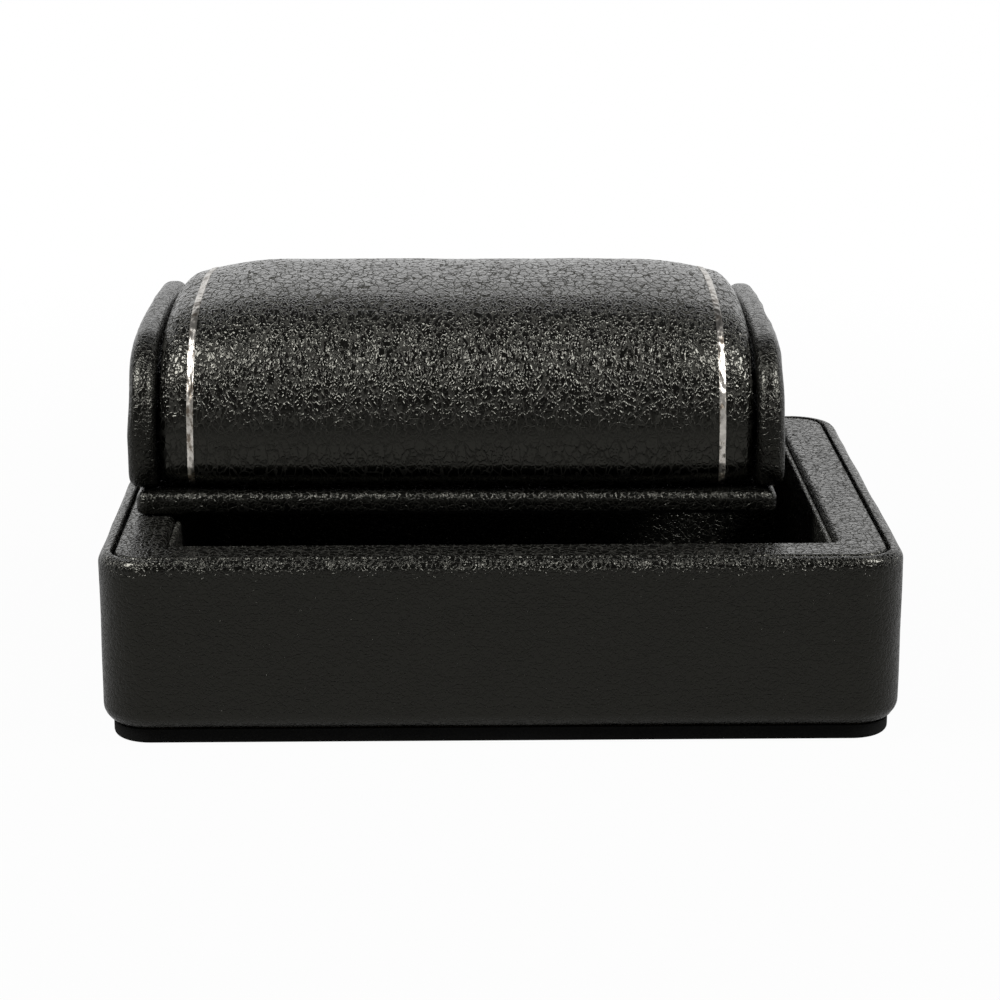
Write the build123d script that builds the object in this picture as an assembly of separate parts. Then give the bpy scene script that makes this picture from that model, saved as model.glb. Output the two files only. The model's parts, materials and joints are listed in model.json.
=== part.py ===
from build123d import *
from math import sqrt
import os

# Lidded valet case with a watch roll standing on its lid, lid set down ajar
# Millimetres, +Z up, +Y to the back, origin at the middle of the case's underside

# Case
case_width = 200.0
case_depth = 150.0
case_top = 47.7
case_corner_radius = 12.5
case_leather_thickness = 0.8
case_top_edge_radius = 2.0
case_bottom_edge_radius = 4.5
shell_board_thickness = 1.8
lip_inner_edge_radius = 0.6
leather_turn_in = 14.0

# Foot under the case
foot_height = 3.8
foot_inset = 2.5
foot_felt_thickness = 0.8
foot_edge_radius = 1.2

# Walls, bottom and rim of the case
bottom_board_thickness = 4.0
groove_width = 0.8
rim_width = 12.0
rim_board_thickness = 2.0
rim_leather_thickness = 0.8
rim_outer_edge_radius = 0.9
rim_inner_edge_radius = 1.9
rim_opening_radius = 3.0
board_edge_radius = 1.0

# Tray inside the case
liner_thickness = 1.6
liner_drop = 1.6
tray_card_thickness = 1.2
tray_suede_thickness = 0.8
tray_fit = 0.2

# Screws under the bottom board
bottom_screw_diameter = 3.0
bottom_screw_head_diameter = 5.5
bottom_screw_head_height = 1.6
bottom_screw_length = 14.0
bottom_screw_pitch = 120.0
screw_clearance = 0.05

# Lid plate
lid_fit = 1.0
lid_rest_gap = 0.1
lid_shift_left = 10.5
lid_shift_back = 24.0
lid_turn = 0.5
lid_board_thickness = 4.4
lid_leather_thickness = 0.6
lid_lining_thickness = 0.8
lid_lining_inset = 3.0
lid_corner_radius = 3.2
lid_top_edge_radius = 2.0
lid_bottom_edge_radius = 1.6

# Cheeks at the two ends of the roll
cheek_depth = 114.0
cheek_height = 38.4
cheek_overhang = 2.0
cheek_board_thickness = 4.0
cheek_skin_thickness = 0.8
cheek_padding = 2.4
cheek_top_radius = 26.0
cheek_bottom_radius = 7.0
cheek_crown_radius = 500.0
cheek_outer_edge_radius = 3.4
cheek_inner_edge_radius = 2.6

# Roll
roll_end_gap = 0.6
roll_depth = 112.0
roll_height = 47.5
roll_crown_radius = 190.0
roll_top_corner_radius = 34.0
roll_bottom_corner_radius = 7.0
roll_even_half = 46.0
roll_end_drop = 5.0
roll_end_draw_in = 3.0
roll_end_radius = 4.5
roll_leather_thickness = 0.9
roll_core_depth = 76.0
roll_core_height = 20.0
roll_core_end_gap = 6.0
roll_core_edge_radius = 4.0

# Silver bands round the roll
band_width = 1.9
band_thickness = 0.15
band_from_end = 8.4

# Dowels and screws that carry the roll
dowel_diameter = 6.0
dowel_pitch = 44.0
dowel_grip = 11.0
dowel_blind_wall = 1.0
roll_screw_diameter = 3.0
roll_screw_head_diameter = 5.6
roll_screw_head_height = 1.6
roll_screw_grip = 12.0
roll_screw_from_end = 20.1
roll_screw_pitch = 40.0

# Levels and insets that follow from them
bottom_board_base = foot_height + case_leather_thickness
bottom_board_top = bottom_board_base + bottom_board_thickness
shell_inset = case_leather_thickness
core_inset = shell_inset + shell_board_thickness
lip_inset = core_inset + case_leather_thickness
rim_inset = lip_inset + groove_width
opening_inset = rim_inset + rim_width
core_top = case_top - rim_board_thickness - rim_leather_thickness
tray_inset = opening_inset + liner_thickness
tray_floor_top = bottom_board_top + tray_card_thickness + tray_suede_thickness
liner_top = case_top - liner_drop

lid_length = case_width - 2 * opening_inset - 2 * lid_fit
lid_depth = case_depth - 2 * opening_inset - 2 * lid_fit
lid_base = case_top + lid_rest_gap
lid_board_base = lid_base + lid_lining_thickness
lid_board_top = lid_board_base + lid_board_thickness
lid_top = lid_board_top + lid_leather_thickness

cheek_outer = lid_length / 2 + cheek_overhang
cheek_thickness = cheek_skin_thickness + cheek_board_thickness + cheek_padding
cheek_inner = cheek_outer - cheek_thickness
cheek_board_inner = cheek_inner + cheek_skin_thickness
cheek_board_outer = cheek_board_inner + cheek_board_thickness

roll_half_length = cheek_inner - roll_end_gap
roll_base = lid_top + band_thickness
roll_top = roll_base + roll_height
roll_core_base = roll_base + roll_leather_thickness
roll_core_half = roll_half_length - roll_leather_thickness - roll_core_end_gap

lid_place = Pos(-lid_shift_left, lid_shift_back, 0) * Rot(0, 0, -lid_turn)

# Slack for picking edges by their place
level_slack = 0.01


def plan_prism(inset, low, high, radius=None):
    """A prism of the case's plan, drawn in by an inset, between two levels."""
    corner = case_corner_radius - inset if radius is None else radius
    plan = RectangleRounded(case_width - 2 * inset, case_depth - 2 * inset, corner)
    return Pos(0, 0, low) * extrude(plan, high - low)


def block(x_low, x_high, y_low, y_high, z_low, z_high):
    """A box between two corners."""
    size = Box(x_high - x_low, y_high - y_low, z_high - z_low)
    return Pos((x_low + x_high) / 2, (y_low + y_high) / 2, (z_low + z_high) / 2) * size


def edges_at(solid, level):
    """The solid's edges that lie flat at one level."""
    return solid.edges().filter_by_position(Axis.Z, level - level_slack, level + level_slack)


def upright_pin(x, y, low, high, diameter):
    """A round pin that stands upright."""
    return Pos(x, y, (low + high) / 2) * Cylinder(diameter / 2, high - low)


def lying_pin(x_low, x_high, y, z, diameter):
    """A round pin that lies along X."""
    return Pos((x_low + x_high) / 2, y, z) * Rot(0, 90, 0) * Cylinder(diameter / 2, x_high - x_low)


# Foot
def make_foot():
    felt = plan_prism(foot_inset, 0, foot_height)
    felt = fillet(edges_at(felt, 0), foot_edge_radius)
    board = plan_prism(foot_inset + foot_felt_thickness, foot_felt_thickness, foot_height)
    return {"foot_felt": felt - board, "foot_board": board}


# Screws that hold the bottom board to the walls
def bottom_screw_places():
    wall_middle = (core_inset + opening_inset) / 2
    x_side = case_width / 2 - wall_middle
    y_side = case_depth / 2 - wall_middle
    long_walls = [(x, y) for x in (-bottom_screw_pitch / 2, bottom_screw_pitch / 2) for y in (-y_side, y_side)]
    return long_walls + [(-x_side, 0), (x_side, 0)]


def make_bottom_screws(clearance=0.0):
    seat = bottom_board_base + bottom_screw_head_height
    screws = []
    for x, y in bottom_screw_places():
        head = upright_pin(x, y, bottom_board_base, seat, bottom_screw_head_diameter + 2 * clearance)
        shank = upright_pin(x, y, seat, seat + bottom_screw_length, bottom_screw_diameter + 2 * clearance)
        screws.append(head + shank)
    return screws


# Body of the case under its leather
def make_body():
    body = plan_prism(shell_inset, bottom_board_base, case_top - case_leather_thickness)
    body = fillet(edges_at(body, bottom_board_base), case_bottom_edge_radius - case_leather_thickness)
    body = fillet(edges_at(body, case_top - case_leather_thickness), case_top_edge_radius - case_leather_thickness)
    return body


def make_shell(body):
    ring = body - plan_prism(core_inset, bottom_board_base, case_top)
    x_end, y_end = case_width / 2, case_depth / 2
    y_cut = y_end - case_corner_radius
    return {
        "shell_front": ring & block(-x_end, x_end, -y_end, -y_cut, 0, case_top),
        "shell_back": ring & block(-x_end, x_end, y_cut, y_end, 0, case_top),
        "shell_left": ring & block(-x_end, 0, -y_cut, y_cut, 0, case_top),
        "shell_right": ring & block(0, x_end, -y_cut, y_cut, 0, case_top),
    }


def make_bottom_and_walls(body):
    holes = make_bottom_screws(screw_clearance)
    bottom = body & plan_prism(core_inset, bottom_board_base, bottom_board_top)
    prism = plan_prism(core_inset, bottom_board_top, core_top)
    x_end, y_end = case_width / 2, case_depth / 2
    x_wall, y_wall = x_end - opening_inset, y_end - opening_inset
    walls = {
        "core_front": prism & block(-x_end, x_end, -y_end, -y_wall, 0, case_top),
        "core_back": prism & block(-x_end, x_end, y_wall, y_end, 0, case_top),
        "core_left": prism & block(-x_end, -x_wall, -y_wall, y_wall, 0, case_top),
        "core_right": prism & block(x_wall, x_end, -y_wall, y_wall, 0, case_top),
    }
    nodes = {"bottom_board": bottom, **walls}
    return {name: solid - holes for name, solid in nodes.items()}


def make_filler():
    card = plan_prism(leather_turn_in + tray_fit, foot_height, bottom_board_base, case_corner_radius / 2)
    return {"bottom_filler_card": card}


def make_case_leather(body):
    outside = plan_prism(0, foot_height, case_top)
    outside = fillet(edges_at(outside, foot_height), case_bottom_edge_radius)
    outside = fillet(edges_at(outside, case_top), case_top_edge_radius)
    shell = body - plan_prism(core_inset, bottom_board_base, case_top)
    leather = outside - shell
    leather -= plan_prism(core_inset, bottom_board_base, core_top)
    leather -= plan_prism(lip_inset, core_top, case_top)
    leather -= plan_prism(leather_turn_in, foot_height, bottom_board_base, case_corner_radius / 2)
    inner_lip = edges_at(leather, case_top).filter_by(lambda e: inside_inset(e, lip_inset))
    return {"case_leather": fillet(inner_lip, lip_inner_edge_radius)}


def inside_inset(edge, inset):
    """True where an edge keeps at least an inset from the case's sides."""
    box = edge.bounding_box()
    x_most = max(abs(box.min.X), abs(box.max.X))
    y_most = max(abs(box.min.Y), abs(box.max.Y))
    x_limit, y_limit = case_width / 2 - inset, case_depth / 2 - inset
    return x_most < x_limit + level_slack and y_most < y_limit + level_slack


# Rim panel round the tray
def make_rim():
    leather = plan_prism(rim_inset, core_top, case_top)
    leather -= plan_prism(opening_inset, core_top, case_top, rim_opening_radius)
    top_edges = edges_at(leather, case_top)
    inner = top_edges.filter_by(lambda e: inside_inset(e, opening_inset))
    leather = fillet(inner, rim_inner_edge_radius)
    outer = edges_at(leather, case_top).filter_by(lambda e: not inside_inset(e, opening_inset - rim_width / 2))
    leather = fillet(outer, rim_outer_edge_radius)
    board_top = case_top - rim_leather_thickness
    inner_inset = opening_inset - rim_leather_thickness
    board = plan_prism(rim_inset + rim_leather_thickness, core_top, board_top)
    board -= plan_prism(inner_inset, core_top, board_top, rim_opening_radius + rim_leather_thickness)
    board_inner = edges_at(board, board_top).filter_by(lambda e: inside_inset(e, inner_inset))
    board = fillet(board_inner, board_edge_radius)
    return {"rim_leather": leather - board, "rim_board": board}


# Tray lining
def make_tray(rim_leather):
    x_wall, y_wall = case_width / 2 - opening_inset, case_depth / 2 - opening_inset
    x_tray, y_tray = case_width / 2 - tray_inset, case_depth / 2 - tray_inset
    long_liners = {
        "liner_front": block(-x_wall, x_wall, -y_wall, -y_tray, bottom_board_top, liner_top),
        "liner_back": block(-x_wall, x_wall, y_tray, y_wall, bottom_board_top, liner_top),
    }
    nodes = {name: solid - rim_leather for name, solid in long_liners.items()}
    for name, x_low, x_high in (("liner_left", -x_wall, -x_tray), ("liner_right", x_tray, x_wall)):
        nodes[name] = block(x_low, x_high, -y_tray, y_tray, bottom_board_top, liner_top) - rim_leather
    card_top = bottom_board_top + tray_card_thickness
    x_card, y_card = x_tray - tray_fit, y_tray - tray_fit
    nodes["tray_floor_card"] = block(-x_card, x_card, -y_card, y_card, bottom_board_top, card_top)
    nodes["tray_floor_suede"] = block(-x_card, x_card, -y_card, y_card, card_top, tray_floor_top)
    return nodes


# Lid plate
def lid_prism(inset, low, high):
    """A prism of the lid's plan, drawn in by an inset, between two levels."""
    corner = max(lid_corner_radius - inset, 0.4)
    plan = RectangleRounded(lid_length - 2 * inset, lid_depth - 2 * inset, corner)
    return Pos(0, 0, low) * extrude(plan, high - low)


def make_lid_plate(holes):
    outside = lid_prism(0, lid_base, lid_top)
    outside = fillet(edges_at(outside, lid_top), lid_top_edge_radius)
    outside = fillet(edges_at(outside, lid_base), lid_bottom_edge_radius)
    board = lid_prism(lid_leather_thickness, lid_board_base, lid_board_top)
    board = fillet(edges_at(board, lid_board_top), lid_top_edge_radius - lid_leather_thickness)
    board = fillet(edges_at(board, lid_board_base), board_edge_radius)
    lining = lid_prism(lid_lining_inset, lid_base, lid_board_base)
    leather = outside - board - lining
    return {"lid_board": board - holes, "lid_leather": leather - holes, "lid_lining": lining}


# Outlines in YZ, for the cheeks and the roll
def corner_arc(start, end, middle, radius):
    """The round corner from start to end about its middle."""
    chord = ((start[0] + end[0]) / 2 - middle[0], (start[1] + end[1]) / 2 - middle[1])
    reach = radius / sqrt(chord[0] ** 2 + chord[1] ** 2)
    return ThreePointArc(start, (middle[0] + chord[0] * reach, middle[1] + chord[1] * reach), end)


def loaf_face(x, half, base, top, lower, upper, crown):
    """A loaf at x: flat base, upright sides, round corners and a crowned top that runs into them."""
    crown_middle = top - crown
    upper_y = half - upper
    upper_z = crown_middle + sqrt((crown - upper) ** 2 - upper_y**2)
    scale = crown / (crown - upper)
    y_join = upper_y * scale
    z_join = crown_middle + (upper_z - crown_middle) * scale
    lower_y, lower_z = half - lower, base + lower
    with BuildSketch(Plane(origin=(x, 0, 0), x_dir=(0, 1, 0), z_dir=(1, 0, 0))) as sketch:
        with BuildLine():
            Line((-lower_y, base), (lower_y, base))
            corner_arc((lower_y, base), (half, lower_z), (lower_y, lower_z), lower)
            Line((half, lower_z), (half, upper_z))
            corner_arc((half, upper_z), (y_join, z_join), (upper_y, upper_z), upper)
            ThreePointArc((y_join, z_join), (0, top), (-y_join, z_join))
            corner_arc((-y_join, z_join), (-half, upper_z), (-upper_y, upper_z), upper)
            Line((-half, upper_z), (-half, lower_z))
            corner_arc((-half, lower_z), (-lower_y, base), (-lower_y, lower_z), lower)
        make_face()
    return sketch.sketch.face()


# Cheeks
def cheek_slab(inset, x_low, x_high):
    """The cheek's outline, drawn in by an inset but not at its foot, between two planes."""
    face = loaf_face(
        x_low,
        cheek_depth / 2 - inset,
        lid_top,
        lid_top + cheek_height - inset,
        cheek_bottom_radius - inset,
        cheek_top_radius - inset,
        cheek_crown_radius - inset,
    )
    return Part() + Solid.extrude(face, (x_high - x_low, 0, 0))


def outline_edges(solid, x):
    """The solid's edges that lie in one plane square to X."""
    return solid.edges().filter_by_position(Axis.X, x - level_slack, x + level_slack)


def make_cheek(side, holes):
    cover = cheek_slab(0, *sorted((side * cheek_inner, side * cheek_outer)))
    cover = fillet(outline_edges(cover, side * cheek_outer), cheek_outer_edge_radius)
    cover = fillet(outline_edges(cover, side * cheek_inner), cheek_inner_edge_radius)
    board = cheek_slab(cheek_skin_thickness, *sorted((side * cheek_board_inner, side * cheek_board_outer)))
    inner_radius = cheek_inner_edge_radius - cheek_skin_thickness
    board = fillet(outline_edges(board, side * cheek_board_inner), inner_radius)
    return cover - board - holes, board - holes


# Roll
def roll_section(x, grow):
    """One section of the roll, grown evenly: past its even middle it falls away with the square of the distance."""
    share = (max(abs(x) - roll_even_half, 0) / (roll_half_length - roll_even_half)) ** 2
    drop = roll_end_drop * share
    return loaf_face(
        x,
        roll_depth / 2 - roll_end_draw_in * share + grow,
        roll_base - grow,
        roll_top - drop + grow,
        roll_bottom_corner_radius + grow,
        roll_top_corner_radius - drop + grow,
        roll_crown_radius + grow,
    )


def roll_solid(grow):
    """The roll's form, grown or shrunk evenly: an even middle and two ends that fall away to round shoulders."""
    half = roll_half_length + min(grow, 0)
    joint = roll_even_half
    between = (joint + half) / 2
    body = loft([roll_section(-joint, grow), roll_section(joint, grow)])
    for side in (-1, 1):
        body += loft([roll_section(side * x, grow) for x in (joint, between, half)])
    ends = outline_edges(body, -half) + outline_edges(body, half)
    return fillet(ends, roll_end_radius + grow)


def make_roll(screw_holes, dowel_holes):
    outside = roll_solid(0)
    inside = roll_solid(-roll_leather_thickness)
    core_top = roll_core_base + roll_core_height
    y_core = roll_core_depth / 2
    core = block(-roll_core_half, roll_core_half, -y_core, y_core, roll_core_base, core_top)
    core = fillet(edges_at(core, core_top).filter_by(Axis.X), roll_core_edge_radius)
    nodes = {
        "roll_leather": outside - inside - screw_holes - dowel_holes,
        "roll_foam": inside - core - dowel_holes,
        "roll_core": core - screw_holes - dowel_holes,
    }
    grown = roll_solid(band_thickness)
    for name, side in (("silver_band_left", -1), ("silver_band_right", 1)):
        middle = side * (roll_half_length - band_from_end)
        slab = block(middle - band_width / 2, middle + band_width / 2, -roll_depth, roll_depth, 0, 2 * roll_top)
        nodes[name] = (grown & slab) - outside
    return nodes


# Fasteners of the lid
def make_dowels(clearance=0.0):
    z = roll_core_base + roll_core_height / 2
    x_low = roll_core_half - dowel_grip
    x_high = cheek_board_outer - dowel_blind_wall
    pins = []
    for side in (-1, 1):
        for y in (-dowel_pitch / 2, dowel_pitch / 2):
            ends = sorted((side * x_low, side * x_high))
            pins.append(lying_pin(ends[0], ends[1], y, z, dowel_diameter + 2 * clearance))
    return pins


def make_roll_screws(clearance=0.0):
    seat = lid_board_base + roll_screw_head_height
    top = roll_core_base + roll_screw_grip
    screws = []
    x_screw = roll_core_half - roll_screw_from_end
    for x in (-x_screw, x_screw):
        for y in (-roll_screw_pitch / 2, roll_screw_pitch / 2):
            head = upright_pin(x, y, lid_board_base, seat, roll_screw_head_diameter + 2 * clearance)
            shank = upright_pin(x, y, seat, top, roll_screw_diameter + 2 * clearance)
            screws.append(head + shank)
    return screws


def make_case():
    body = make_body()
    nodes = {**make_foot(), **make_filler(), **make_bottom_and_walls(body), **make_shell(body)}
    nodes["bottom_screws"] = Compound(make_bottom_screws())
    nodes.update(make_case_leather(body))
    nodes.update(make_rim())
    nodes.update(make_tray(nodes["rim_leather"] + nodes["rim_board"]))
    return nodes


def make_lid():
    screw_holes = make_roll_screws(screw_clearance)
    dowel_holes = make_dowels(screw_clearance)
    nodes = {**make_lid_plate(screw_holes), **make_roll(screw_holes, dowel_holes)}
    for name, side in (("left", -1), ("right", 1)):
        cover, board = make_cheek(side, dowel_holes)
        nodes[f"cheek_leather_{name}"] = cover
        nodes[f"cheek_board_{name}"] = board
    nodes["roll_screws"] = Compound(make_roll_screws())
    nodes["roll_dowels"] = Compound(make_dowels())
    return {name: lid_place * solid for name, solid in nodes.items()}


os.makedirs("parts", exist_ok=True)
for node, solid in {**make_case(), **make_lid()}.items():
    export_step(solid, f"parts/{node}.step")
    print(node, round(solid.volume, 1))
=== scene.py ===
import json
import math
import bpy
import bmesh
import numpy as np
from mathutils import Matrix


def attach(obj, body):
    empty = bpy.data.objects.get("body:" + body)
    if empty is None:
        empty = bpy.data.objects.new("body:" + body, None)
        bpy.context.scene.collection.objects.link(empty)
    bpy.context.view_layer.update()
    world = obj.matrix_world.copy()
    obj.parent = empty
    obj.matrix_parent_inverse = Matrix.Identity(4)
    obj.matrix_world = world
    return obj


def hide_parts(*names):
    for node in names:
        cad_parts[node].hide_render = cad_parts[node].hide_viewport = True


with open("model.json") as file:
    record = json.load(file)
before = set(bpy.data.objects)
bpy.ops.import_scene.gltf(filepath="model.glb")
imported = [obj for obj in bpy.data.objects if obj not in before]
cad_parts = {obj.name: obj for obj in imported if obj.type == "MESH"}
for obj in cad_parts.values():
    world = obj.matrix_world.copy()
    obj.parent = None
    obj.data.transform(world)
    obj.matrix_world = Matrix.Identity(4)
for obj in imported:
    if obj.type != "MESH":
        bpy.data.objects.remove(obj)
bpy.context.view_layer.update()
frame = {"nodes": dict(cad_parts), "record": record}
mm = 0.001  # the dictionaries below are in millimetres

print("stage: camera")
camera = {"lens": 100.57, "place": (-12.71, -727.61, 243.94), "pitch": 15.473, "heading": 1.06}
cameraData = bpy.data.cameras.new("photoCamera")
cameraData.lens = camera["lens"]
cameraData.sensor_width = 36
cameraObject = bpy.data.objects.new("photoCamera", cameraData)
cameraObject.location = [value * mm for value in camera["place"]]
cameraObject.rotation_euler = (math.radians(90 - camera["pitch"]), 0, math.radians(-camera["heading"]))
bpy.context.scene.collection.objects.link(cameraObject)
bpy.context.scene.camera = cameraObject


print("stage: surface helpers")


def addPiece(name, points, closeRows, closeColumns, body, standsFor):
    # points is rows x columns x 3 in millimetres; each cell of the grid becomes one four-sided face
    rows, columns = points.shape[:2]
    index = np.arange(rows * columns).reshape(rows, columns)
    if closeRows:
        index = np.vstack([index, index[:1]])
    if closeColumns:
        index = np.hstack([index, index[:, :1]])
    corners = [index[:-1, :-1], index[:-1, 1:], index[1:, 1:], index[1:, :-1]]
    faces = np.stack(corners, axis=-1).reshape(-1, 4)
    mesh = bpy.data.meshes.new(name)
    mesh.from_pydata(points.reshape(-1, 3) * mm, [], faces)
    work = bmesh.new()
    work.from_mesh(mesh)
    bmesh.ops.remove_doubles(work, verts=work.verts, dist=1e-6)
    bmesh.ops.recalc_face_normals(work, faces=work.faces)
    work.to_mesh(mesh)
    work.free()
    mesh.polygons.foreach_set("use_smooth", [True] * len(mesh.polygons))
    piece = bpy.data.objects.new(name, mesh)
    bpy.context.scene.collection.objects.link(piece)
    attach(piece, body)
    if standsFor:
        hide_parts(*standsFor)
    return piece


def ringOutline(halfX, halfY, radius, sideX, sideY, corner):
    # a rounded rectangle: four quarter circles about the corners' middles, joined by straight sides
    # halfX, halfY and radius may be columns of values; the outline then has one row for each
    sizes = (halfX, halfY, radius)
    halfX, halfY, radius = (np.atleast_1d(np.asarray(size, float))[:, None] for size in sizes)
    middleX, middleY = halfX - radius, halfY - radius
    turn = np.linspace(0, math.pi / 2, corner + 1)[None, :]
    longRun = np.linspace(0, 1, sideX + 1)[1:-1][None, :]
    shortRun = np.linspace(0, 1, sideY + 1)[1:-1][None, :]
    xs, ys = [], []
    for quarter in range(4):
        signX = (1, -1, -1, 1)[quarter]
        signY = (1, 1, -1, -1)[quarter]
        angle = turn + quarter * math.pi / 2
        xs.append(signX * middleX + radius * np.cos(angle))
        ys.append(signY * middleY + radius * np.sin(angle))
        if quarter in (0, 2):
            xs.append(signX * (middleX - 2 * middleX * longRun))
            ys.append(signY * halfY + 0 * longRun)
        else:
            xs.append(signX * halfX + 0 * shortRun)
            ys.append(signY * (middleY - 2 * middleY * shortRun))
    return np.hstack(xs), np.hstack(ys)


def arcPoints(middle, radius, start, end, count):
    # points on a circle: middle plus radius times the cosine and sine of the angle, in degrees
    angle = np.radians(np.linspace(start, end, count))
    return np.stack([middle[0] + radius * np.cos(angle), middle[1] + radius * np.sin(angle)], axis=1)


def straightPoints(start, end, count):
    # evenly spaced points from start to end, both ends left out
    share = np.linspace(0, 1, count + 2)[1:-1, None]
    return np.asarray(start, float) * (1 - share) + np.asarray(end, float) * share


def softNoise(points, wavelength, seed):
    # a smooth field from a few crossed sine waves with seeded directions; its size is about one
    rng = np.random.default_rng(seed)
    total = np.zeros(points.shape[:-1])
    for turn in range(7):
        direction = rng.normal(size=3)
        direction /= np.linalg.norm(direction)
        stretch = wavelength * rng.uniform(0.6, 1.6)
        total += np.sin(points @ direction * 2 * math.pi / stretch + rng.uniform(0, 6.28))
    return total / 2.6


def surfaceNormals(points, closeRows, closeColumns):
    # the cross product of the steps along the two directions of the grid, made one long
    def step(axis, closed):
        ahead = np.roll(points, -1, axis)
        behind = np.roll(points, 1, axis)
        if not closed:
            last = [slice(None)] * 3
            first = [slice(None)] * 3
            last[axis], first[axis] = -1, 0
            ahead[tuple(last)] = points[tuple(last)]
            behind[tuple(first)] = points[tuple(first)]
        return ahead - behind
    normal = np.cross(step(0, closeRows), step(1, closeColumns))
    return normal / np.maximum(np.linalg.norm(normal, axis=-1, keepdims=True), 1e-9)


lid = {
    "shiftLeft": 10.5, "shiftBack": 24.0, "turn": 0.5,  # how it was set down, the turn in degrees
    "length": 165.6, "depth": 115.6, "base": 47.8, "top": 53.6,
}


def placeOnLid(points):
    # the lid's own points, turned a little about Z and shifted to the left and back
    angle = math.radians(-lid["turn"])
    x = points[..., 0] * math.cos(angle) - points[..., 1] * math.sin(angle) - lid["shiftLeft"]
    y = points[..., 0] * math.sin(angle) + points[..., 1] * math.cos(angle) + lid["shiftBack"]
    return np.stack([x, y, points[..., 2]], axis=-1)


print("stage: case leather")
case = {
    "halfX": 100.0, "halfY": 75.0, "corner": 12.5, "top": 47.7, "bottom": 3.8, "thick": 0.8, "turnIn": 14.0,
    "topRound": 2.7, "bottomRound": 4.5, "lip": 3.4, "lipRound": 0.6,
    "coreTop": 44.9, "grooveEnd": 4.15,  # the floor of the groove beside the rim panel
    "wave": 0.12, "waveLength": 46,
}


def makeCaseLeather():
    # a closed profile (inset from the side, height) carried round a rounded rectangle
    c = case
    inner = c["thick"]
    profile = np.vstack([
        straightPoints((c["turnIn"], c["bottom"]), (c["bottomRound"], c["bottom"]), 4),
        arcPoints((c["bottomRound"], c["bottom"] + c["bottomRound"]), c["bottomRound"], 270, 180, 12),
        straightPoints((0, c["bottom"] + c["bottomRound"]), (0, c["top"] - c["topRound"]), 22),
        arcPoints((c["topRound"], c["top"] - c["topRound"]), c["topRound"], 180, 90, 10),
        arcPoints((c["lip"] - c["lipRound"], c["top"] - c["lipRound"]), c["lipRound"], 90, 0, 6),
        straightPoints((c["lip"], c["top"] - c["lipRound"]), (c["lip"], c["coreTop"] + 0.6), 3),
        [(c["lip"] + 0.02, c["coreTop"] + 0.5), (c["grooveEnd"], c["coreTop"] + 0.4)],
        [(c["grooveEnd"], c["coreTop"]), (c["lip"], c["coreTop"]), (c["lip"] - inner, c["coreTop"])],
        [(c["lip"] - inner, c["top"] - inner - 0.2), (c["topRound"], c["top"] - inner)],
        [(inner, c["top"] - c["topRound"]), (inner, c["bottom"] + c["bottomRound"])],
        arcPoints((c["bottomRound"], c["bottom"] + c["bottomRound"]), c["bottomRound"] - inner, 190, 260, 4),
        [(c["turnIn"], c["bottom"] + inner), (c["turnIn"], c["bottom"])],
    ])
    inset, height = profile[:, 0], profile[:, 1]
    radius = np.maximum(c["corner"] - inset, 0.6)
    x, y = ringOutline(c["halfX"] - inset, c["halfY"] - inset, radius, 110, 84, 14)
    points = np.stack([x, y, np.broadcast_to(height[:, None], x.shape)], axis=-1)
    normal = surfaceNormals(points, True, True)
    facing = np.sign(np.sum(normal * np.stack([x, y, 0 * x], axis=-1), axis=-1, keepdims=True))
    # only the wall and its round edges are wavy, not the inside of the leather, the lip or the bottom
    shown = (inset < c["lip"] - 0.9) & (height > c["bottom"] + 1.5) & (height < c["top"] - 0.4)
    rounded = (height > c["top"] - c["topRound"]) | (height < c["bottom"] + c["bottomRound"])
    outside = (shown & ((inset < 0.01) | rounded))[:, None]
    drift = softNoise(points * (1, 1, 2.2), c["waveLength"], 3) * c["wave"]
    points = points - normal * facing * (np.abs(drift) * outside)[..., None]
    return addPiece("case_cover", points, True, True, "case", ["case_leather"])


caseCover = makeCaseLeather()


print("stage: rim leather")
rim = {
    "inset": 4.2, "width": 12.0, "top": 47.7, "bottom": 44.9, "outerRound": 0.9, "innerRound": 1.9,
    "thick": 0.8, "openingRound": 3.0, "pucker": 0.07, "puckerLength": 17,
}


def makeRimLeather():
    # a closed profile of the panel (inset, height) carried round; the corner's radius changes with the inset
    r = rim
    outer, inner = r["inset"], r["inset"] + r["width"]
    skin = r["thick"]
    profile = np.vstack([
        straightPoints((outer, r["bottom"]), (outer, r["top"] - r["outerRound"]), 3),
        arcPoints((outer + r["outerRound"], r["top"] - r["outerRound"]), r["outerRound"], 180, 90, 7),
        straightPoints((outer + r["outerRound"], r["top"]), (inner - r["innerRound"], r["top"]), 22),
        arcPoints((inner - r["innerRound"], r["top"] - r["innerRound"]), r["innerRound"], 90, 0, 10),
        [(inner, r["bottom"]), (inner - skin, r["bottom"]), (inner - skin, r["top"] - r["innerRound"])],
        [(inner - r["innerRound"], r["top"] - skin), (outer + skin, r["top"] - skin)],
        [(outer + skin, r["bottom"]), (outer, r["bottom"])],
    ])
    inset, height = profile[:, 0], profile[:, 1]
    share = np.clip((inset - outer) / r["width"], 0, 1)
    radius = (1 - share) * (case["corner"] - outer) + share * r["openingRound"]
    x, y = ringOutline(case["halfX"] - inset, case["halfY"] - inset, radius, 150, 110, 12)
    points = np.stack([x, y, np.broadcast_to(height[:, None], x.shape).copy()], axis=-1)
    top = (height > r["top"] - 0.001)[:, None]
    points[..., 2] -= np.abs(softNoise(points, r["puckerLength"], 11)) * r["pucker"] * top
    return addPiece("rim_cover", points, True, True, "case", ["rim_leather"])


rimCover = makeRimLeather()


print("stage: tray lining")
lining = {"outer": 16.2, "thick": 1.6, "top": 46.1, "bottom": 8.6, "round": 0.78, "corner": 0.9}


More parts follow.
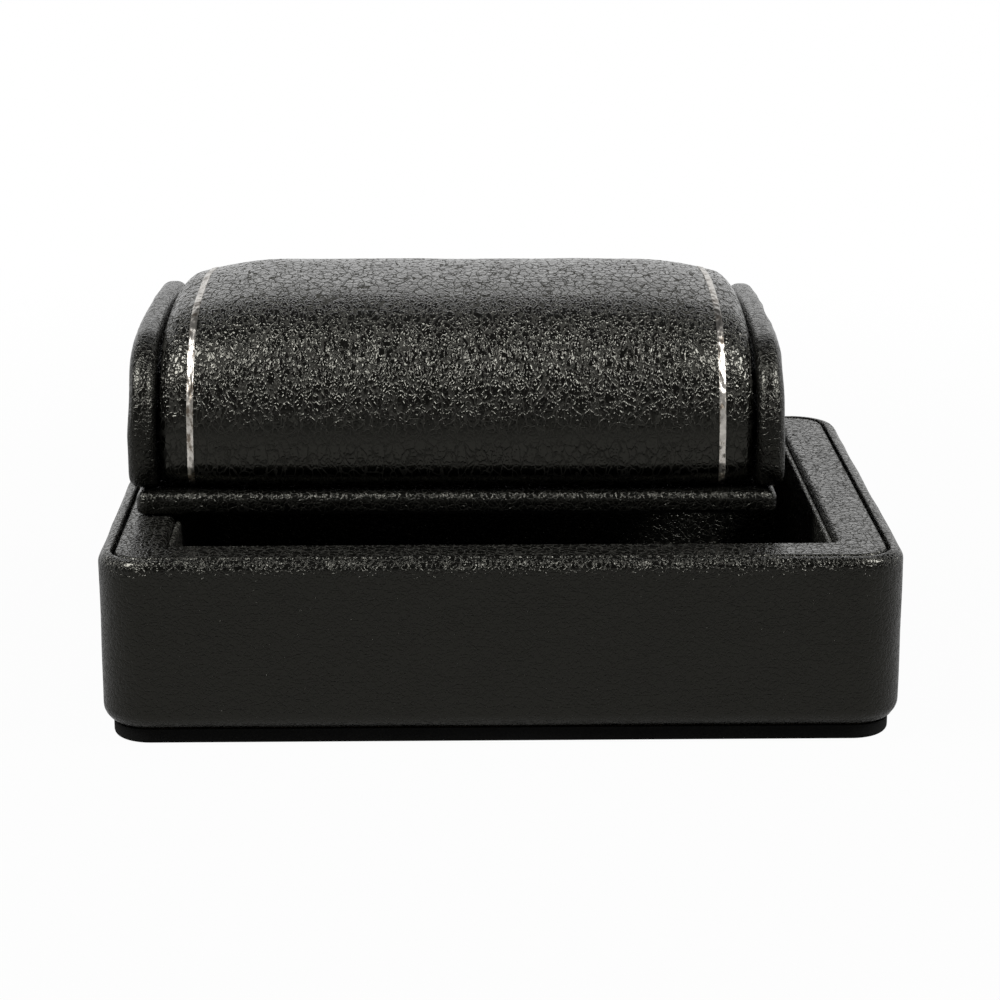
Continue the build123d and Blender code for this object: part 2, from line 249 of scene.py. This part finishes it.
def makeLining():
    # a thin upright wall with a round lip, its profile carried round the tray's outline
    n = lining
    outer, inner = n["outer"] + 0.02, n["outer"] + n["thick"]
    middle = (outer + inner) / 2
    profile = np.vstack([
        [(outer, n["bottom"])],
        straightPoints((outer, n["bottom"]), (outer, n["top"] - n["round"]), 6),
        arcPoints((middle, n["top"] - n["round"]), n["round"], 180, 0, 11),
        straightPoints((inner, n["top"] - n["round"]), (inner, n["bottom"]), 10),
        [(inner, n["bottom"])],
    ])
    inset, height = profile[:, 0], profile[:, 1]
    radius = np.maximum(n["corner"] + n["outer"] - inset, 0.1) + 0 * inset
    x, y = ringOutline(case["halfX"] - inset, case["halfY"] - inset, np.maximum(radius, 0.15), 90, 60, 5)
    points = np.stack([x, y, np.broadcast_to(height[:, None], x.shape)], axis=-1)
    return addPiece("lining_cover", points, True, True, "case",
                    ["liner_front", "liner_back", "liner_left", "liner_right"])


liningCover = makeLining()


print("stage: lid plate")
plate = {"topRound": 2.0, "bottomRound": 1.6, "corner": 3.2, "liningInset": 3.0, "liningThick": 0.8}


def makePlateLeather():
    # rings of the plate's outline from the middle of its top, over the edge, to the middle of its underside
    p = plate
    low, high = lid["base"], lid["top"]
    edge = np.vstack([
        straightPoints((9, high), (p["topRound"], high), 8),
        arcPoints((p["topRound"], high - p["topRound"]), p["topRound"], 90, 180, 9),
        straightPoints((0, high - p["topRound"]), (0, low + p["bottomRound"]), 2),
        arcPoints((p["bottomRound"], low + p["bottomRound"]), p["bottomRound"], 180, 270, 8),
        [(p["liningInset"], low), (p["liningInset"], low + p["liningThick"])],
    ])
    inset, height = edge[:, 0], edge[:, 1]
    radius = np.maximum(p["corner"] - inset, 0.4)
    x, y = ringOutline(lid["length"] / 2 - inset, lid["depth"] / 2 - inset, radius, 120, 84, 7)
    shrinkTop = np.linspace(0, 1, 8)[:-1, None]
    shrinkLow = np.linspace(1, 0, 4)[1:, None]
    x = np.vstack([x[:1] * shrinkTop, x, x[-1:] * shrinkLow])
    y = np.vstack([y[:1] * shrinkTop, y, y[-1:] * shrinkLow])
    z = np.concatenate([np.full(7, high), height, np.full(3, height[-1])])[:, None] + 0 * x
    points = np.stack([x, y, z], axis=-1)
    return addPiece("plate_cover", placeOnLid(points), False, True, "lid", ["lid_leather"])


plateCover = makePlateLeather()


print("stage: cheeks")
cheek = {
    "depth": 114.0, "heightLeft": 39.1, "heightRight": 38.1, "outer": 84.8, "thick": 7.2,
    "topRound": 26.0, "bottomRound": 7.0, "crown": 500.0, "outerRound": 3.4, "innerRound": 2.6,
    "swell": 0.5, "drift": 0.22, "driftLength": 21,
}


def loafOutline(half, base, top, lower, upper, crown):
    # a loaf: flat base, round lower corners, upright sides, round upper corners and one long arc as its top
    sizes = (half, base, top, lower, upper, crown)
    half, base, top, lower, upper, crown = (np.atleast_1d(np.asarray(size, float))[:, None] for size in sizes)
    crownMiddle = top - crown
    upperY = half - upper
    upperZ = crownMiddle + np.sqrt((crown - upper) ** 2 - upperY ** 2)
    lowerY, lowerZ = half - lower, base + lower
    lean = np.arctan2(upperZ - crownMiddle, upperY)

    def run(start, end, count):
        return start + (end - start) * np.linspace(0, 1, count + 2)[None, 1:-1]

    quarter = np.linspace(-math.pi / 2, 0, 13)[None, :]
    shoulder = lean * np.linspace(0, 1, 15)[None, :]
    over = lean + (math.pi - 2 * lean) * np.linspace(0, 1, 66)[None, 1:-1]
    flat = run(-lowerY, lowerY, 36)
    side = run(lowerZ, upperZ, 16)
    rightY = np.hstack([lowerY + lower * np.cos(quarter), half + 0 * side, upperY + upper * np.cos(shoulder)])
    rightZ = np.hstack([lowerZ + lower * np.sin(quarter), side, upperZ + upper * np.sin(shoulder)])
    y = np.hstack([flat, rightY, crown * np.cos(over), -rightY[:, ::-1]])
    z = np.hstack([base + 0 * flat, rightZ, crownMiddle + crown * np.sin(over), rightZ[:, ::-1]])
    return y, z


def makeCheek(side, name, node, height):
    # loaf outlines at rising x: the middle of the inner face, its edge, the rim, the outer edge and face
    c = cheek
    inner = c["outer"] - c["thick"]
    edge = np.vstack([
        arcPoints((inner + c["innerRound"], c["innerRound"]), c["innerRound"], 180, 270, 6),
        straightPoints((inner + c["innerRound"], 0), (c["outer"] - c["outerRound"], 0), 4),
        arcPoints((c["outer"] - c["outerRound"], c["outerRound"]), c["outerRound"], 270, 360, 11),
    ])
    x, inset = edge[:, 0], edge[:, 1]
    y, z = loafOutline(
        c["depth"] / 2 - inset, lid["top"] + inset * 0.5, lid["top"] + height - inset,
        c["bottomRound"] - inset, c["topRound"] - inset, c["crown"] - inset,
    )
    middleZ = lid["top"] + height / 2
    shrinkIn = np.linspace(0, 1, 10)[:-1, None]
    shrinkOut = np.linspace(1, 0, 16)[1:, None]

    def filled(ring, centre):
        # the first and last outline drawn in to the centre, so that both faces are closed
        inward = centre + (ring[:1] - centre) * shrinkIn
        outward = centre + (ring[-1:] - centre) * shrinkOut
        return np.vstack([inward, ring, outward])

    y, z = filled(y, 0), filled(z, middleZ)
    x = np.concatenate([np.full(9, inner), x, c["outer"] + c["swell"] * (1 - shrinkOut[:, 0] ** 3)])
    points = np.stack([side * x[:, None] + 0 * y, y, z], axis=-1)
    # the padded faces lie a little unevenly
    padded = (x > c["outer"] - 1)[:, None]
    points[..., 0] -= side * np.abs(softNoise(points, c["driftLength"], 31 + side)) * c["drift"] * padded
    return addPiece(name, placeOnLid(points), False, True, "lid", [node])


cheekLeft = makeCheek(-1, "cheek_cover_left", "cheek_leather_left", cheek["heightLeft"])
cheekRight = makeCheek(1, "cheek_cover_right", "cheek_leather_right", cheek["heightRight"])


print("stage: roll")
roll = {
    "halfLength": 77.0, "depth": 112.0, "height": 47.5, "base": 53.75,
    "topRound": 34.0, "bottomRound": 7.0, "crown": 190.0,
    "evenHalf": 46.0, "endDrop": 5.0, "endDrawIn": 3.0,  # past evenHalf the roll gets lower and narrower
    "endRound": 2.4, "endRoundTop": 4.6, "roundFrom": 75.0, "roundTo": 93.0,
    "longAxis": 0.45,  # where its long axis lies, as a share of the height
    "drift": 0.26, "driftLength": 26, "calmFoot": 3, "calmRise": 8,
    "pucker": 0.26, "puckerCount": 34, "puckerPatch": 19, "puckerSway": 30,
    "puckerFrom": 3.2, "puckerReach": 3.4,
}


def rollSurface(x, inset):
    # the loaf at x: past its even middle, depth and height fall off with the square of the distance
    r = roll
    share = (np.maximum(np.abs(x) - r["evenHalf"], 0) / (r["halfLength"] - r["evenHalf"])) ** 2
    drop = r["endDrop"] * share
    y, z = loafOutline(
        r["depth"] / 2 - r["endDrawIn"] * share - inset, r["base"] + inset,
        r["base"] + r["height"] - drop - inset,
        r["bottomRound"] - inset, r["topRound"] - drop - inset, r["crown"] - inset,
    )
    return np.stack([x[:, None] + 0 * y, y, z], axis=-1)


def settle(points):
    # the leather lies a little unevenly: points move towards the roll's long axis by a soft noise,
    # and near the ends also by small puckers, which are waves round the outline that die away inwards
    r = roll
    middle = r["base"] + r["height"] * r["longAxis"]
    away = points[..., 1:] - np.array([0, middle])
    reach = np.maximum(np.linalg.norm(away, axis=-1, keepdims=True), 1e-6)
    turn = np.arctan2(away[..., 1] * 1.6, away[..., 0])
    fromEnd = r["halfLength"] - np.abs(points[..., 0])
    drift = 0.5 + 0.5 * np.clip(softNoise(points, r["driftLength"], 5), -1, 1)
    patchy = np.clip(softNoise(points, r["puckerPatch"], 21) + 0.3, 0, 1)
    waves = np.sin(turn * r["puckerCount"] + 1.5 * softNoise(points, r["puckerSway"], 8)) * patchy
    pucker = np.exp(-((fromEnd - r["puckerFrom"]) / r["puckerReach"]) ** 2) * (0.5 + 0.5 * waves)
    above = np.clip((points[..., 2] - r["base"] - r["calmFoot"]) / r["calmRise"], 0, 1)
    atFace = np.clip(fromEnd / 1.5, 0, 1)
    inward = (r["drift"] * drift + r["pucker"] * pucker) * above * atFace
    return np.concatenate([points[..., :1], points[..., 1:] - away / reach * inward[..., None]], axis=-1)


def roundedRoll(endRound):
    # outlines along the roll, with quarter circles of this radius at its ends
    r = roll
    straight = r["halfLength"] - endRound
    turn = np.radians(np.linspace(0, 90, 11))[:-1]
    endX = -straight - endRound * np.cos(turn)
    endInset = endRound * (1 - np.sin(turn))
    middleX = np.linspace(-straight, straight, 211)
    x = np.concatenate([endX, middleX, -endX[::-1]])
    inset = np.concatenate([endInset, 0 * middleX, endInset[::-1]])
    return rollSurface(x, inset)


def makeRoll():
    # the ends are rounder above than in front: two rolls are mixed by height
    # and their end faces shrink to a point
    r = roll
    tight, loose = roundedRoll(r["endRound"]), roundedRoll(r["endRoundTop"])
    share = np.clip((tight[..., 2:] - r["roundFrom"]) / (r["roundTo"] - r["roundFrom"]), 0, 1)
    share = share * share * (3 - 2 * share)
    points = tight * (1 - share) + loose * share
    centre = np.array([0, 0, r["base"] + r["height"] / 2])
    shrink = np.linspace(0, 1, 10)[:-1, None, None]
    first, last = points[:1], points[-1:]

    def drawnIn(ring, share):
        across = centre[1:] + (ring[..., 1:] - centre[1:]) * share
        return np.concatenate([ring[..., :1] + 0 * share, across], axis=-1)

    points = np.concatenate([drawnIn(first, shrink), points, drawnIn(last, shrink[::-1])])
    return addPiece("roll_cover", placeOnLid(settle(points)), False, True, "lid", ["roll_leather"])


rollCover = makeRoll()


print("stage: silver bands")
bands = {
    "fromEnd": 8.4, "width": 1.75,
    # the band's own profile: the way across in half widths, and how far it stands out of the leather
    "across": (-1, -1, -0.9, -0.5, 0, 0.5, 0.9, 1, 1, 0),
    "grow": (-0.1, 0.06, 0.13, 0.15, 0.15, 0.15, 0.13, 0.06, -0.1, -0.1),
}


def makeBand(side, name, node):
    # the roll's own outline at the ten points of that profile, grown by what the band stands out
    b = bands
    x = side * (roll["halfLength"] - b["fromEnd"]) + np.array(b["across"]) * b["width"] / 2
    points = settle(rollSurface(x, -np.array(b["grow"])))
    return addPiece(name, placeOnLid(points), True, True, "lid", [node])


bandLeft = makeBand(-1, "band_left", "silver_band_left")
bandRight = makeBand(1, "band_right", "silver_band_right")


print("stage: materials")


def startMaterial(name):
    # an empty node material with its output and principled shader
    material = bpy.data.materials.new(name)
    material.use_nodes = True
    nodes = material.node_tree.nodes
    nodes.clear()
    output = nodes.new("ShaderNodeOutputMaterial")
    shader = nodes.new("ShaderNodeBsdfPrincipled")
    material.node_tree.links.new(shader.outputs["BSDF"], output.inputs["Surface"])
    return material, nodes, material.node_tree.links, shader


def objectPlace(nodes, links, stretch=(1, 1, 1)):
    # object coordinates, in metres, stretched so that a pattern runs longer where the value is small
    place = nodes.new("ShaderNodeTexCoord")
    mapping = nodes.new("ShaderNodeMapping")
    mapping.inputs["Scale"].default_value = stretch
    links.new(place.outputs["Object"], mapping.inputs["Vector"])
    return mapping.outputs["Vector"]


def noiseNode(nodes, links, vector, scale, detail, rough=0.5):
    noise = nodes.new("ShaderNodeTexNoise")
    noise.inputs["Scale"].default_value = scale
    noise.inputs["Detail"].default_value = detail
    noise.inputs["Roughness"].default_value = rough
    links.new(vector, noise.inputs["Vector"])
    return noise.outputs["Fac"]


def rampNode(nodes, links, factor, stops):
    ramp = nodes.new("ShaderNodeValToRGB")
    ramp.color_ramp.elements[0].position = stops[0][0]
    ramp.color_ramp.elements[0].color = (*stops[0][1], 1)
    ramp.color_ramp.elements[1].position = stops[-1][0]
    ramp.color_ramp.elements[1].color = (*stops[-1][1], 1)
    for place, colour in stops[1:-1]:
        element = ramp.color_ramp.elements.new(place)
        element.color = (*colour, 1)
    links.new(factor, ramp.inputs["Fac"])
    return ramp.outputs["Color"]


def mathNode(nodes, links, operation, first, second=None):
    # both inputs may be sockets; the second may be a number or left out
    node = nodes.new("ShaderNodeMath")
    node.operation = operation
    links.new(first, node.inputs[0])
    if isinstance(second, (int, float)):
        node.inputs[1].default_value = second
    elif second is not None:
        links.new(second, node.inputs[1])
    return node.outputs["Value"]


def plainHeight(nodes, links):
    # the height above the table, in metres, from the unstretched object coordinates
    split = nodes.new("ShaderNodeSeparateXYZ")
    links.new(nodes["Texture Coordinate"].outputs["Object"], split.inputs["Vector"])
    return split.outputs["Z"]


def bumpNode(nodes, links, height, strength, distance, before=None):
    bump = nodes.new("ShaderNodeBump")
    bump.inputs["Strength"].default_value = strength
    bump.inputs["Distance"].default_value = distance
    links.new(height, bump.inputs["Height"])
    if before is not None:
        links.new(before, bump.inputs["Normal"])
    return bump.outputs["Normal"]


def remap(nodes, links, value, fromLow, fromHigh, toLow, toHigh, smooth=False):
    # value taken from one span to another, clamped at both ends
    span = nodes.new("ShaderNodeMapRange")
    if smooth:
        span.interpolation_type = "SMOOTHSTEP"
    span.inputs["From Min"].default_value = fromLow
    span.inputs["From Max"].default_value = fromHigh
    span.inputs["To Min"].default_value = toLow
    span.inputs["To Max"].default_value = toHigh
    links.new(value, span.inputs["Value"])
    return span.outputs["Result"]


# scales are counts per metre, rises are metres
grain = {
    "wanderScale": 0.8, "wander": 1.5, "domeReach": 0.13, "domeRise": 0.00011, "domeStrength": 0.9,
    "foldRise": 0.0001, "foldStrength": 0.8, "creaseReach": 0.5, "calmBand": 0.006,
    "fineScale": 2400, "fineRise": 0.00002, "fineStrength": 0.3, "wornScale": 260,
    "broadScale": 55, "broadRise": 0.0004, "broadStrength": 0.3,
    "tint": (1, 0.98, 0.86, 1),
}


def grainLeather(name, cell=500, ridge=1000, foldWidth=0.11, depth=1.0, domes=1.0, stretch=(1, 1, 1),
                 dark=0.0006, light=0.0016, gloss=(0.13, 0.2), creaseGloss=0.8, level=0.4,
                 calmBelow=0, calm=0.5):
    # cell and ridge are counts per metre; depth and domes scale the relief
    # dark and light are the base's tones; below calmBelow, in metres, the relief is scaled by calm
    material, nodes, links, shader = startMaterial(name)
    place = objectPlace(nodes, links, stretch)
    # pebbles: cells pushed about by noise, with round domes and narrow creases
    wander = nodes.new("ShaderNodeTexNoise")
    wander.inputs["Scale"].default_value = cell * grain["wanderScale"]
    wander.inputs["Detail"].default_value = 2
    links.new(place, wander.inputs["Vector"])
    push = nodes.new("ShaderNodeVectorMath")
    push.operation = "MULTIPLY_ADD"
    links.new(wander.outputs["Color"], push.inputs[0])
    push.inputs[1].default_value = (grain["wander"] / cell,) * 3
    links.new(place, push.inputs[2])
    cells = nodes.new("ShaderNodeTexVoronoi")
    cells.feature = "DISTANCE_TO_EDGE"
    cells.inputs["Scale"].default_value = cell
    links.new(push.outputs["Vector"], cells.inputs["Vector"])
    dome = remap(nodes, links, cells.outputs["Distance"], 0, grain["domeReach"], 0, 1, True)
    # short wandering folds: grooves along the lines where a soft noise passes its middle
    fold = noiseNode(nodes, links, place, ridge, 0, 0.4)
    fromMiddle = mathNode(nodes, links, "SUBTRACT", fold, 0.5)
    folds = remap(nodes, links, mathNode(nodes, links, "ABSOLUTE", fromMiddle), 0, foldWidth, 0, 1, True)
    fine = noiseNode(nodes, links, place, grain["fineScale"], 3, 0.6)
    broad = noiseNode(nodes, links, place, grain["broadScale"], 5, 0.55)
    normal = bumpNode(nodes, links, folds, grain["foldStrength"] * depth, grain["foldRise"])
    normal = bumpNode(nodes, links, dome, grain["domeStrength"] * depth * domes, grain["domeRise"], normal)
    if calmBelow:
        # drawn flat low down and in full relief above
        height = plainHeight(nodes, links)
        for bump in [node for node in nodes if node.bl_idname == "ShaderNodeBump"]:
            full = bump.inputs["Strength"].default_value
            calmTo = calmBelow + grain["calmBand"]
            rise = remap(nodes, links, height, calmBelow, calmTo, full * calm, full, True)
            links.new(rise, bump.inputs["Strength"])
    normal = bumpNode(nodes, links, fine, grain["fineStrength"] * depth, grain["fineRise"], normal)
    normal = bumpNode(nodes, links, broad, grain["broadStrength"], grain["broadRise"], normal)
    links.new(normal, shader.inputs["Normal"])
    darkTone, lightTone = (dark, dark, dark * 0.85), (light, light, light * 0.85)
    tone = rampNode(nodes, links, broad, [(0.3, darkTone), (0.75, lightTone)])
    links.new(tone, shader.inputs["Base Color"])
    worn = remap(nodes, links, noiseNode(nodes, links, place, grain["wornScale"], 3), 0, 1, *gloss)
    crease = nodes.new("ShaderNodeMapRange")
    crease.inputs["From Max"].default_value = grain["creaseReach"]
    crease.inputs["To Min"].default_value = creaseGloss
    links.new(dome, crease.inputs["Value"])
    links.new(worn, crease.inputs["To Max"])
    links.new(crease.outputs["Result"], shader.inputs["Roughness"])
    shader.inputs["Specular IOR Level"].default_value = level
    shader.inputs["Specular Tint"].default_value = grain["tint"]
    return material


def pileCloth(name, low, high, sheen):
    material, nodes, links, shader = startMaterial(name)
    place = objectPlace(nodes, links)
    fibre = noiseNode(nodes, links, place, 1800, 6, 0.7)
    broad = noiseNode(nodes, links, place, 90, 4)
    links.new(rampNode(nodes, links, fibre, [(0.3, low), (0.7, high)]), shader.inputs["Base Color"])
    links.new(remap(nodes, links, broad, 0, 1, 0.85, 0.98), shader.inputs["Roughness"])
    links.new(bumpNode(nodes, links, fibre, 0.6, 0.0003), shader.inputs["Normal"])
    shader.inputs["Sheen Weight"].default_value = sheen
    shader.inputs["Sheen Roughness"].default_value = 0.5
    shader.inputs["Specular IOR Level"].default_value = 0.2
    return material


def woodLike(name, low, high, along, scale):
    material, nodes, links, shader = startMaterial(name)
    place = objectPlace(nodes, links, along)
    figure = noiseNode(nodes, links, place, scale, 6, 0.6)
    fibre = noiseNode(nodes, links, place, scale * 7, 4, 0.7)
    links.new(rampNode(nodes, links, figure, [(0.3, low), (0.7, high)]), shader.inputs["Base Color"])
    links.new(remap(nodes, links, fibre, 0, 1, 0.55, 0.8), shader.inputs["Roughness"])
    links.new(bumpNode(nodes, links, fibre, 0.4, 0.0002), shader.inputs["Normal"])
    return material


def barMetal(name, low, high, gloss, scale, stretch):
    material, nodes, links, shader = startMaterial(name)
    place = objectPlace(nodes, links, stretch)
    streak = noiseNode(nodes, links, place, scale, 5, 0.6)
    links.new(rampNode(nodes, links, streak, [(0.35, low), (0.65, high)]), shader.inputs["Base Color"])
    links.new(remap(nodes, links, streak, 0, 1, *gloss), shader.inputs["Roughness"])
    links.new(bumpNode(nodes, links, streak, 0.5, 0.00006), shader.inputs["Normal"])
    shader.inputs["Metallic"].default_value = 1
    return material


# the height span and the two shares below paint shade on the bands' tops and a highlight low down
foil = {
    "stretch": (1, 0.55, 0.55), "foldScale": 860, "wornScale": 420, "brownScale": 75, "gloss": (0.42, 0.18),
    "low": (0.24, 0.2, 0.16), "middle": (0.6, 0.56, 0.5), "high": (0.8, 0.76, 0.7),
    "paintedShadeFrom": 0.07, "paintedShadeTo": 0.094, "lowShare": 1.15, "topShare": 0.55, "brownShare": 0.3,
}


def foilOnGrain(name):
    # worn foil with the folds of the leather below it
    f = foil
    material, nodes, links, shader = startMaterial(name)
    place = objectPlace(nodes, links, f["stretch"])
    fold = noiseNode(nodes, links, place, f["foldScale"], 0, 0.4)
    worn = noiseNode(nodes, links, place, f["wornScale"], 4, 0.65)
    lows = remap(nodes, links, worn, 0.38, 0.52, 0, 1, True)
    tone = rampNode(nodes, links, lows, [(0.0, f["low"]), (0.6, f["middle"]), (1.0, f["high"])])
    # painted shade and painted highlight: the foil's colour is darker on top and brighter low down, by
    # height, standing in for how the light falls on the bands; and a few brown places
    height = plainHeight(nodes, links)
    paintedLightByHeight = remap(nodes, links, height, f["paintedShadeFrom"], f["paintedShadeTo"], f["lowShare"], f["topShare"], True)
    patches = noiseNode(nodes, links, place, f["brownScale"], 2)
    spots = remap(nodes, links, patches, 0.58, 0.68, 1, f["brownShare"], True)
    for share in (paintedLightByHeight, spots):
        shadeAndSpots = nodes.new("ShaderNodeVectorMath")
        shadeAndSpots.operation = "SCALE"
        links.new(tone, shadeAndSpots.inputs[0])
        links.new(share, shadeAndSpots.inputs["Scale"])
        tone = shadeAndSpots.outputs["Vector"]
    links.new(tone, shader.inputs["Base Color"])
    links.new(remap(nodes, links, worn, 0, 1, *f["gloss"]), shader.inputs["Roughness"])
    normal = bumpNode(nodes, links, fold, 1.0, 0.00035)
    links.new(bumpNode(nodes, links, worn, 0.5, 0.00008, normal), shader.inputs["Normal"])
    shader.inputs["Metallic"].default_value = 1
    return material


finishes = {
    "leather": grainLeather("black pebble leather"),
    "rollLeather": grainLeather(
        "black roll leather", cell=430, ridge=1250, foldWidth=0.15, depth=1.35, domes=1.05,
        stretch=(1, 0.6, 0.6), gloss=(0.11, 0.17), creaseGloss=0.95, level=0.45, calmBelow=0.068, calm=0.25,
    ),
    "wrapLeather": grainLeather(
        "black case leather", depth=1.35, gloss=(0.12, 0.2), creaseGloss=0.5, level=0.36,
        calmBelow=0.0418, calm=0.42,
    ),
    "smoothLeather": grainLeather(
        "black edge leather", depth=0.7, gloss=(0.16, 0.24), creaseGloss=0.5, level=0.33,
    ),
    "liner": grainLeather("black lining leather", depth=1.2, gloss=(0.16, 0.26), level=0.6, light=0.008),
    "felt": pileCloth("black felt", (0.0008, 0.0008, 0.0006), (0.003, 0.003, 0.0025), 0.01),
    "suede": pileCloth("black suede", (0.002, 0.002, 0.002), (0.007, 0.007, 0.007), 0.05),
    "board": woodLike("grey card and fibreboard", (0.22, 0.16, 0.1), (0.34, 0.25, 0.17), (1, 1, 1), 700),
    "beech": woodLike("planed beech", (0.45, 0.29, 0.16), (0.6, 0.42, 0.26), (0.15, 1, 1), 260),
    "foam": pileCloth("cream foam", (0.6, 0.56, 0.44), (0.78, 0.74, 0.62), 0.0),
    "steel": barMetal(
        "zinc plated steel", (0.45, 0.45, 0.44), (0.62, 0.62, 0.6), (0.25, 0.4), 900, (1, 1, 0.2),
    ),
    "silver_foil": foilOnGrain("silver foil"),
}


def dress(thing, finish):
    thing.data.materials.clear()
    thing.data.materials.append(finishes[finish])


slotOf = {row["node"]: row["material_slot"] for row in frame["record"]["subparts"]}
for nodeName, thing in frame["nodes"].items():
    finish = "liner" if nodeName.startswith("liner") else slotOf[nodeName]
    dress(thing, finish)
dress(rimCover, "leather")
for thing in (plateCover, cheekLeft, cheekRight):
    dress(thing, "smoothLeather")
dress(rollCover, "rollLeather")
dress(caseCover, "wrapLeather")
dress(liningCover, "liner")
for thing in (bandLeft, bandRight):
    dress(thing, "silver_foil")


print("stage: floor, backdrop and lights")
studio = {
    "paperColour": 0.2, "worldLight": 0.1, "bendFrom": 1.9, "edge": 3.6, "lowRim": 0.42, "backRim": 0.28,
    "whiteNear": 0.97, "whiteFrom": 0.16, "whiteTo": 0.6,  # how white the camera sees the paper, by distance
    "glossyLow": 0.28, "glossyFrom": 0.1, "glossyTo": 0.5,  # and reflections, less white in front than behind
    "left": {"place": (-0.62, -0.25, 0.95), "width": 0.5, "depth": 0.5, "power": 16},
    "right": {"place": (0.66, -0.25, 0.95), "width": 0.5, "depth": 0.5, "power": 16},
    "back": {"place": (0.0, 1.6, 0.68), "width": 2.4, "depth": 0.58, "power": 2.1},
}


def makeFloor():
    # a round sheet of paper whose rim bends up:
    # the height is the rim's steepness times the square of the way past the bend
    s = studio
    flat, bent = np.linspace(0.0, s["bendFrom"], 10), np.linspace(s["bendFrom"], s["edge"], 18)[1:]
    reach = np.concatenate([flat, bent])
    angle = np.linspace(0, 2 * math.pi, 97)[:-1]
    steep = s["lowRim"] + s["backRim"] * np.clip(np.sin(angle), 0, 1) ** 2
    past = np.maximum(reach - s["bendFrom"], 0)
    x = reach[:, None] * np.cos(angle)[None, :]
    y = reach[:, None] * np.sin(angle)[None, :]
    z = past[:, None] ** 2 * steep[None, :]
    points = np.stack([x, y, z], axis=-1)
    rows, columns = points.shape[:2]
    index = np.arange(rows * columns).reshape(rows, columns)
    index = np.hstack([index, index[:, :1]])
    corners = [index[:-1, :-1], index[1:, :-1], index[1:, 1:], index[:-1, 1:]]
    faces = np.stack(corners, axis=-1).reshape(-1, 4)
    mesh = bpy.data.meshes.new("floor")
    mesh.from_pydata(points.reshape(-1, 3), [], faces)
    work = bmesh.new()
    work.from_mesh(mesh)
    bmesh.ops.remove_doubles(work, verts=work.verts, dist=1e-6)
    work.to_mesh(mesh)
    work.free()
    mesh.polygons.foreach_set("use_smooth", [True] * len(mesh.polygons))
    floor = bpy.data.objects.new("floor", mesh)
    bpy.context.scene.collection.objects.link(floor)
    mesh.materials.append(studioPaper())
    return floor


def studioPaper():
    # paper near the object, and plain white further out for the camera and for reflections
    s = studio
    material, nodes, links, shader = startMaterial("studio paper")
    place = objectPlace(nodes, links)
    shade = s["paperColour"]
    paper = noiseNode(nodes, links, place, 8, 2)
    tone = rampNode(nodes, links, paper, [(0.0, (shade,) * 3), (1.0, (shade * 1.01,) * 3)])
    links.new(tone, shader.inputs["Base Color"])
    shader.inputs["Roughness"].default_value = 0.9
    shader.inputs["Specular IOR Level"].default_value = 0.1
    far = nodes.new("ShaderNodeVectorMath")
    far.operation = "LENGTH"
    links.new(place, far.inputs[0])
    share = remap(nodes, links, far.outputs["Value"], s["whiteFrom"], s["whiteTo"], s["whiteNear"], 1, True)
    split = nodes.new("ShaderNodeSeparateXYZ")
    links.new(place, split.inputs["Vector"])
    behind = remap(nodes, links, split.outputs["Y"], s["glossyFrom"], s["glossyTo"], s["glossyLow"], 1, True)
    path = nodes.new("ShaderNodeLightPath")
    glossy, passing = path.outputs["Is Glossy Ray"], path.outputs["Is Transmission Ray"]
    mirrored = mathNode(nodes, links, "MAXIMUM", glossy, passing)
    direct = mathNode(nodes, links, "MULTIPLY", path.outputs["Is Camera Ray"], share)
    reflected = mathNode(nodes, links, "MULTIPLY", mirrored, behind)
    amount = mathNode(nodes, links, "ADD", direct, reflected)
    white = nodes.new("ShaderNodeEmission")
    white.inputs["Strength"].default_value = 1.0
    mix = nodes.new("ShaderNodeMixShader")
    links.new(amount, mix.inputs["Fac"])
    links.new(shader.outputs["BSDF"], mix.inputs[1])
    links.new(white.outputs["Emission"], mix.inputs[2])
    links.new(mix.outputs["Shader"], nodes["Material Output"].inputs["Surface"])
    return material


def addLamp(name, settings):
    lamp = bpy.data.lights.new(name, "AREA")
    lamp.shape = "RECTANGLE"
    lamp.size = settings["width"]
    lamp.size_y = settings["depth"]
    lamp.energy = settings["power"]
    holder = bpy.data.objects.new(name, lamp)
    holder.location = settings["place"]
    aim = np.array([0, 0, 0.05]) - np.array(settings["place"])
    flat = math.hypot(aim[0], aim[1])
    holder.rotation_euler = (math.atan2(flat, -aim[2]), 0, math.atan2(-aim[0], aim[1]))
    bpy.context.scene.collection.objects.link(holder)
    return holder


makeFloor()
for lampName in ("left", "right", "back"):
    addLamp(lampName + "Light", studio[lampName])
world = bpy.data.worlds.new("studio")
bpy.context.scene.world = world
world.use_nodes = True
background = world.node_tree.nodes["Background"]
background.inputs["Color"].default_value = (1, 1, 1, 1)
background.inputs["Strength"].default_value = studio["worldLight"]
bpy.context.scene.view_settings.view_transform = "Standard"

print("stage: finish")
